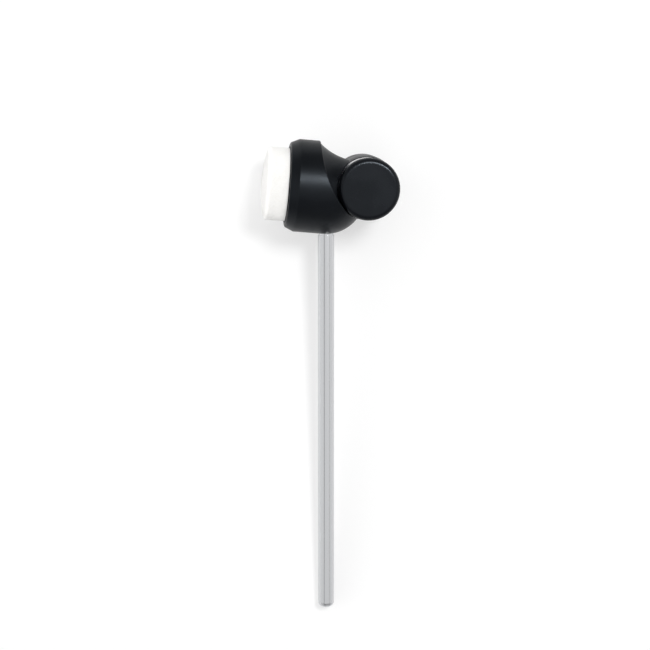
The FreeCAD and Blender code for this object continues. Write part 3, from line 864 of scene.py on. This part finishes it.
class BeaterStage(bpy.types.PropertyGroup):
    """Camera, lights and table top."""

    camera_azimuth: FloatProperty(
        name="Azimuth",
        description="Camera's turn from the front",
        subtype="ANGLE",
        default=math.radians(-5.125),
    )
    camera_elevation: FloatProperty(
        name="Elevation",
        description="Camera's height angle",
        subtype="ANGLE",
        default=math.radians(9.323),
    )
    camera_distance: FloatProperty(
        name="Distance",
        description="Camera's distance from what it looks at",
        unit="LENGTH",
        default=0.7485,
    )
    lens: FloatProperty(name="Lens", description="Focal length", unit="CAMERA", default=83.37)
    look_at: FloatVectorProperty(
        name="Look at",
        description="Point in the middle of the picture",
        subtype="XYZ",
        unit="LENGTH",
        default=(-0.00051, 0.0, 0.11085),
    )
    key_power: FloatProperty(
        name="Key", description="Power of the main soft box", subtype="POWER", default=9.3
    )
    strip_power: FloatProperty(
        name="Strip", description="Power of the strip that gloss shows", subtype="POWER", default=14.9
    )
    room_light: FloatProperty(name="Room", description="Strength of the room's light", default=0.04)
    room_side: FloatProperty(name="Room side", description="Light added from the felt's side", default=3.8)
    room_top: FloatProperty(name="Room top", description="Light added from above", default=1.05)
    room_under: FloatProperty(name="Room under", description="Light added from below", default=2.75)
    room_pale: FloatProperty(name="Room pale", description="Horizon of the room in mirrors", default=0.74)
    room_dim: FloatProperty(name="Room dim", description="Ceiling of the room in mirrors", default=0.336)
    room_dark: FloatProperty(name="Room dark", description="Floor of the room in mirrors", default=0.336)
    table_tone: FloatProperty(
        name="Table tone", description="Share of light that the table returns", default=0.47
    )
    table_glow: FloatProperty(
        name="Table glow", description="White added where the table is seen", default=0.54
    )
    table_mirrored: FloatProperty(
        name="Table mirrored", description="White added in mirrors", default=0.32
    )
    table_width: FloatProperty(
        name="Table", description="Side of the table top", unit="LENGTH", default=3.0
    )


class BEATER_OT_head(bpy.types.Operator):
    """Gives the moulded head and the cap on the drum's far end their satin black finish"""

    bl_idname = "beater.head"
    bl_label = "Finish the head"

    def execute(self, context):
        settings = context.scene.beater_finish
        satin = moulded_plastic(
            "Moulded head",
            settings.plastic_colour,
            roughness=0.33,
            sheen=0.245,
            grain_size=settings.grain_size,
        )
        dress(satin, "head_shell")
        dress(cap_plastic("Drum cap", settings), "drum_end_cap")
        return {"FINISHED"}


class BEATER_OT_shaft(bpy.types.Operator):
    """Gives the shaft its bright drawn finish"""

    bl_idname = "beater.shaft"
    bl_label = "Finish the shaft"

    def execute(self, context):
        drawn = machined_metal(
            "Drawn steel",
            context.scene.beater_finish.steel_colour,
            roughness=0.17,
            line_scale=SHAFT_LINE_SCALE,
            depth=BRIGHT_LINE_DEPTH,
            ground_end=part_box("shaft")[0].z,
        )
        dress(drawn, "shaft")
        return {"FINISHED"}


class BEATER_OT_weight(bpy.types.Operator):
    """Gives the pull-out weight, its cap, its magnet and its O-ring their finishes"""

    bl_idname = "beater.weight"
    bl_label = "Finish the weight"

    def execute(self, context):
        settings = context.scene.beater_finish
        turned = machined_metal(
            "Turned weight",
            settings.weight_colour,
            roughness=0.26,
            line_scale=WEIGHT_LINE_SCALE,
            depth=BRIGHT_LINE_DEPTH,
        )
        dress(turned, "weight_body")
        dress(cap_plastic("Weight cap", settings), "weight_cap")
        dress(plated_metal("Nickel plate", NICKEL, roughness=0.2), "weight_magnet")
        dress(soft_rubber("O-ring rubber", BLACK_RUBBER), "weight_oring")
        return {"FINISHED"}


class BEATER_OT_fittings(bpy.types.Operator):
    """Gives the fittings inside the head their finishes"""

    bl_idname = "beater.fittings"
    bl_label = "Finish the fittings"

    def execute(self, context):
        bush = machined_metal(
            "Turned bush",
            BARE_ALUMINIUM,
            roughness=0.3,
            line_scale=BUSH_LINE_SCALE,
            depth=COARSE_LINE_DEPTH,
        )
        dress(bush, "shaft_sleeve")
        blackened = plated_metal("Black oxide", BLACK_OXIDE, roughness=0.38)
        dress(blackened, "shaft_set_screw", "pad_stud", "keeper_screw")
        dress(plated_metal("Zinc plate", ZINC, roughness=0.3), "keeper_plate", "pad_washer")
        brass = machined_metal(
            "Turned brass",
            BRASS,
            roughness=0.28,
            line_scale=INSERT_LINE_SCALE,
            depth=COARSE_LINE_DEPTH,
        )
        dress(brass, "pad_insert")
        grain_size = context.scene.beater_finish.grain_size
        carrier = moulded_plastic(
            "Carrier", CARRIER_BLACK, roughness=0.55, sheen=0.5, grain_size=grain_size
        )
        dress(carrier, "pad_carrier")
        return {"FINISHED"}


class BEATER_OT_felt(bpy.types.Operator):
    """Makes the felt pad in the place of its plain solid"""

    bl_idname = "beater.felt"
    bl_label = "Make the felt"

    def execute(self, context):
        make_felt(context.scene.beater_finish)
        return {"FINISHED"}


class BEATER_OT_fuzz(bpy.types.Operator):
    """Makes the loose fibres that stand off the felt"""

    bl_idname = "beater.fuzz"
    bl_label = "Make the loose fibres"

    def execute(self, context):
        make_fuzz(context.scene.beater_finish)
        return {"FINISHED"}


class BEATER_OT_stage(bpy.types.Operator):
    """Sets the camera, the lights, the room and the table top"""

    bl_idname = "beater.stage"
    bl_label = "Set the stage"

    def execute(self, context):
        settings = context.scene.beater_stage
        set_camera(settings)
        # The key gives no gloss, and the strip gives only gloss
        key = set_lamp("key", settings, KEY_PLACE, KEY_SIZE, settings.key_power)
        key.visible_glossy = False
        strip = set_lamp("strip", settings, STRIP_PLACE, STRIP_SIZE, settings.strip_power)
        strip.visible_diffuse = False
        set_table(settings)
        set_room(settings)
        return {"FINISHED"}


class BEATER_PT_panel(bpy.types.Panel):
    """Lists the beater's steps and settings in the sidebar"""

    bl_idname = "BEATER_PT_panel"
    bl_label = "Bass drum beater"
    bl_space_type = "VIEW_3D"
    bl_region_type = "UI"
    bl_category = "Beater"

    def draw(self, context):
        for step in STEPS:
            self.layout.operator(step.bl_idname)
        for group in (context.scene.beater_finish, context.scene.beater_stage):
            column = self.layout.column()
            for name in group.bl_rna.properties.keys():
                if name not in ("name", "rna_type"):
                    column.prop(group, name)


STEPS = (
    BEATER_OT_head,
    BEATER_OT_shaft,
    BEATER_OT_weight,
    BEATER_OT_fittings,
    BEATER_OT_felt,
    BEATER_OT_fuzz,
    BEATER_OT_stage,
)
CLASSES = (BeaterFinish, BeaterStage, *STEPS, BEATER_PT_panel)


def register():
    """Registers the classes and gives the scene its settings."""
    for each in CLASSES:
        bpy.utils.register_class(each)
    bpy.types.Scene.beater_finish = PointerProperty(type=BeaterFinish)
    bpy.types.Scene.beater_stage = PointerProperty(type=BeaterStage)


def unregister():
    """Takes the settings and the classes away again."""
    del bpy.types.Scene.beater_stage
    del bpy.types.Scene.beater_finish
    for each in reversed(CLASSES):
        bpy.utils.unregister_class(each)


def main():
    """Runs every step in order."""
    register()
    bpy.ops.beater.head()
    bpy.ops.beater.shaft()
    bpy.ops.beater.weight()
    bpy.ops.beater.fittings()
    bpy.ops.beater.felt()
    bpy.ops.beater.fuzz()
    bpy.ops.beater.stage()


if __name__ == "__main__":
    main()
